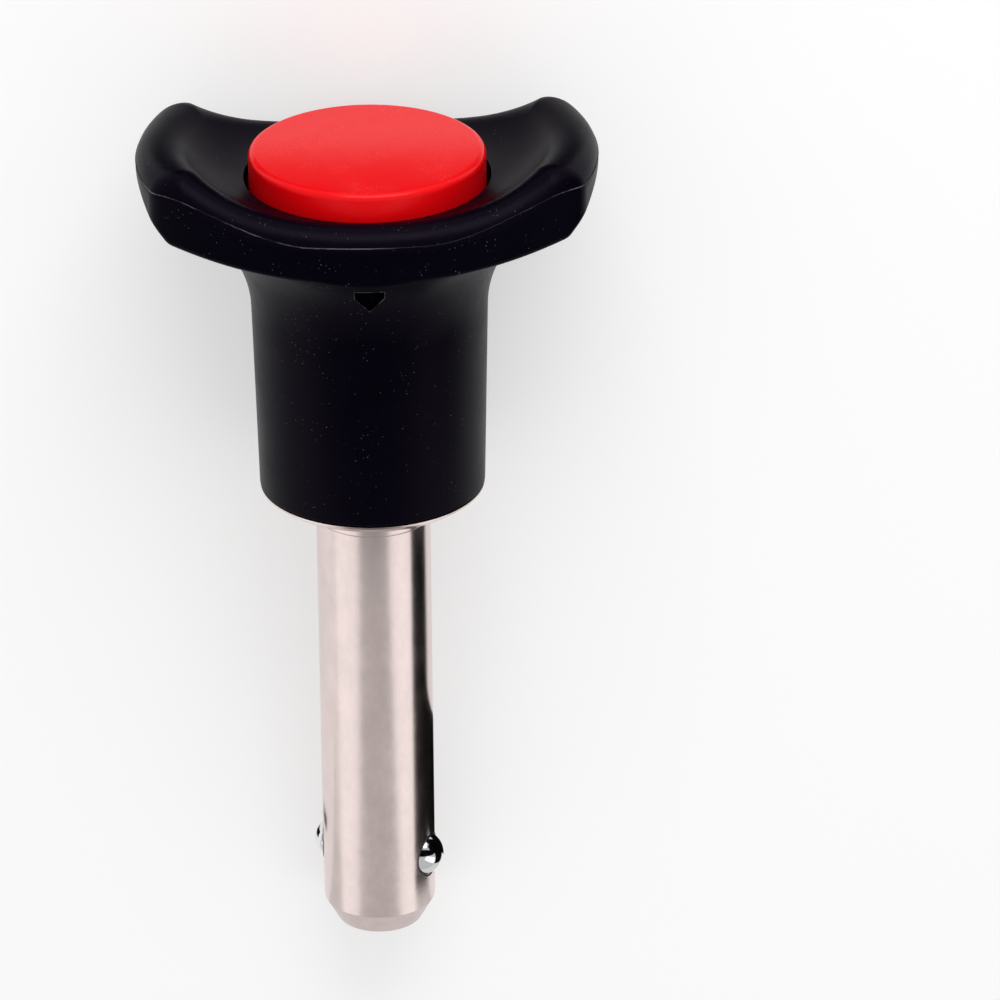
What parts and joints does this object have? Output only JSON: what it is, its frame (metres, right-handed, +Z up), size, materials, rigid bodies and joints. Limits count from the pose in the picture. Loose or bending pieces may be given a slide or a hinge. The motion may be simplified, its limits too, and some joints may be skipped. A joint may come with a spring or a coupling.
{
  "type": "ball lock pin",
  "caption": "Quick-release ball lock pin with a steel shank, locking balls, a winged black plastic handle and a red push button.",
  "frame": {"origin": "centre of the collar's bearing face, on the pin axis", "axes": "+X to the right-hand wing; the pin axis lies in the YZ plane, from the tip at -Y to the button at +Y, raised 7.14 degrees because the pin lies on its tip rim and the back of its handle; +Z up"},
  "size_m": [0.0474, 0.0921, 0.0318],
  "materials": {
    "stainless_steel": "fine turned and ground",
    "ball_steel": "polished",
    "spring_steel": "drawn wire",
    "black_plastic": "fine moulded satin",
    "red_plastic": "smooth satin"
  },
  "bodies": {
    "body": {"shank": "stainless_steel", "handle": "black_plastic", "guide_bush": "stainless_steel", "spring": "spring_steel"},
    "plunger": {"button": "red_plastic", "spindle": "stainless_steel", "retaining_clip": "spring_steel", "spring_washer": "stainless_steel"},
    "ball_right": {"locking_ball_right": "ball_steel"},
    "ball_left": {"locking_ball_left": "ball_steel"}
  },
  "joints": [
    {"name": "button_press", "type": "slide", "parent": "body", "child": "plunger", "axis": [0, -0.9922, -0.1243], "range_m": [0, 0.004], "stiffness_N_per_m": 1500, "springref_m": -0.004, "deforming": ["spring"]},
    {"name": "ball_right_in", "type": "slide", "parent": "body", "child": "ball_right", "axis": [-0.9205, 0.0486, -0.3877], "range_m": [0, 0.0013]},
    {"name": "ball_left_in", "type": "slide", "parent": "body", "child": "ball_left", "axis": [0.9205, -0.0486, 0.3877], "range_m": [0, 0.0013]}
  ],
  "couplings": [
    {"joint": "ball_right_in", "follows": "button_press", "ratio": 0.325},
    {"joint": "ball_left_in", "follows": "button_press", "ratio": 0.325}
  ]
}
